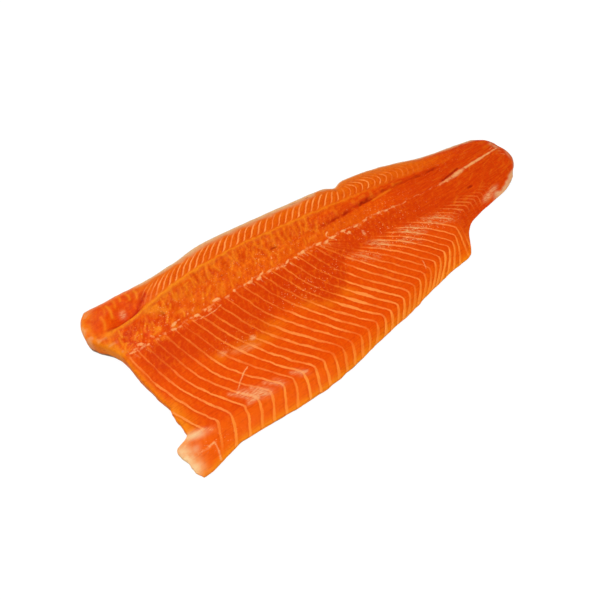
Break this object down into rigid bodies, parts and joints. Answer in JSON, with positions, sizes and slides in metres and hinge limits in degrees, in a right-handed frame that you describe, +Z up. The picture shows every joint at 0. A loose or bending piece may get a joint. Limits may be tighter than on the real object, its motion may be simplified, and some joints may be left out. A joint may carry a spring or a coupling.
{
  "type": "raw salmon fillet",
  "caption": "Whole raw side of salmon lying skin side down: thick rounded back, thin belly flap, tapered tail, trimmed head end and a sloping belly edge.",
  "frame": {"origin": "middle of the fillet's box, on the surface that it lies on", "axes": "+X along the fillet to the tail, +Y across it to the back of the fish, +Z up out of the flesh"},
  "size_m": [0.54, 0.2362, 0.028],
  "materials": {
    "flesh": "gloss",
    "skin": "satin"
  },
  "bodies": {
    "root": {"fillet": "flesh"}
  },
  "joints": []
}
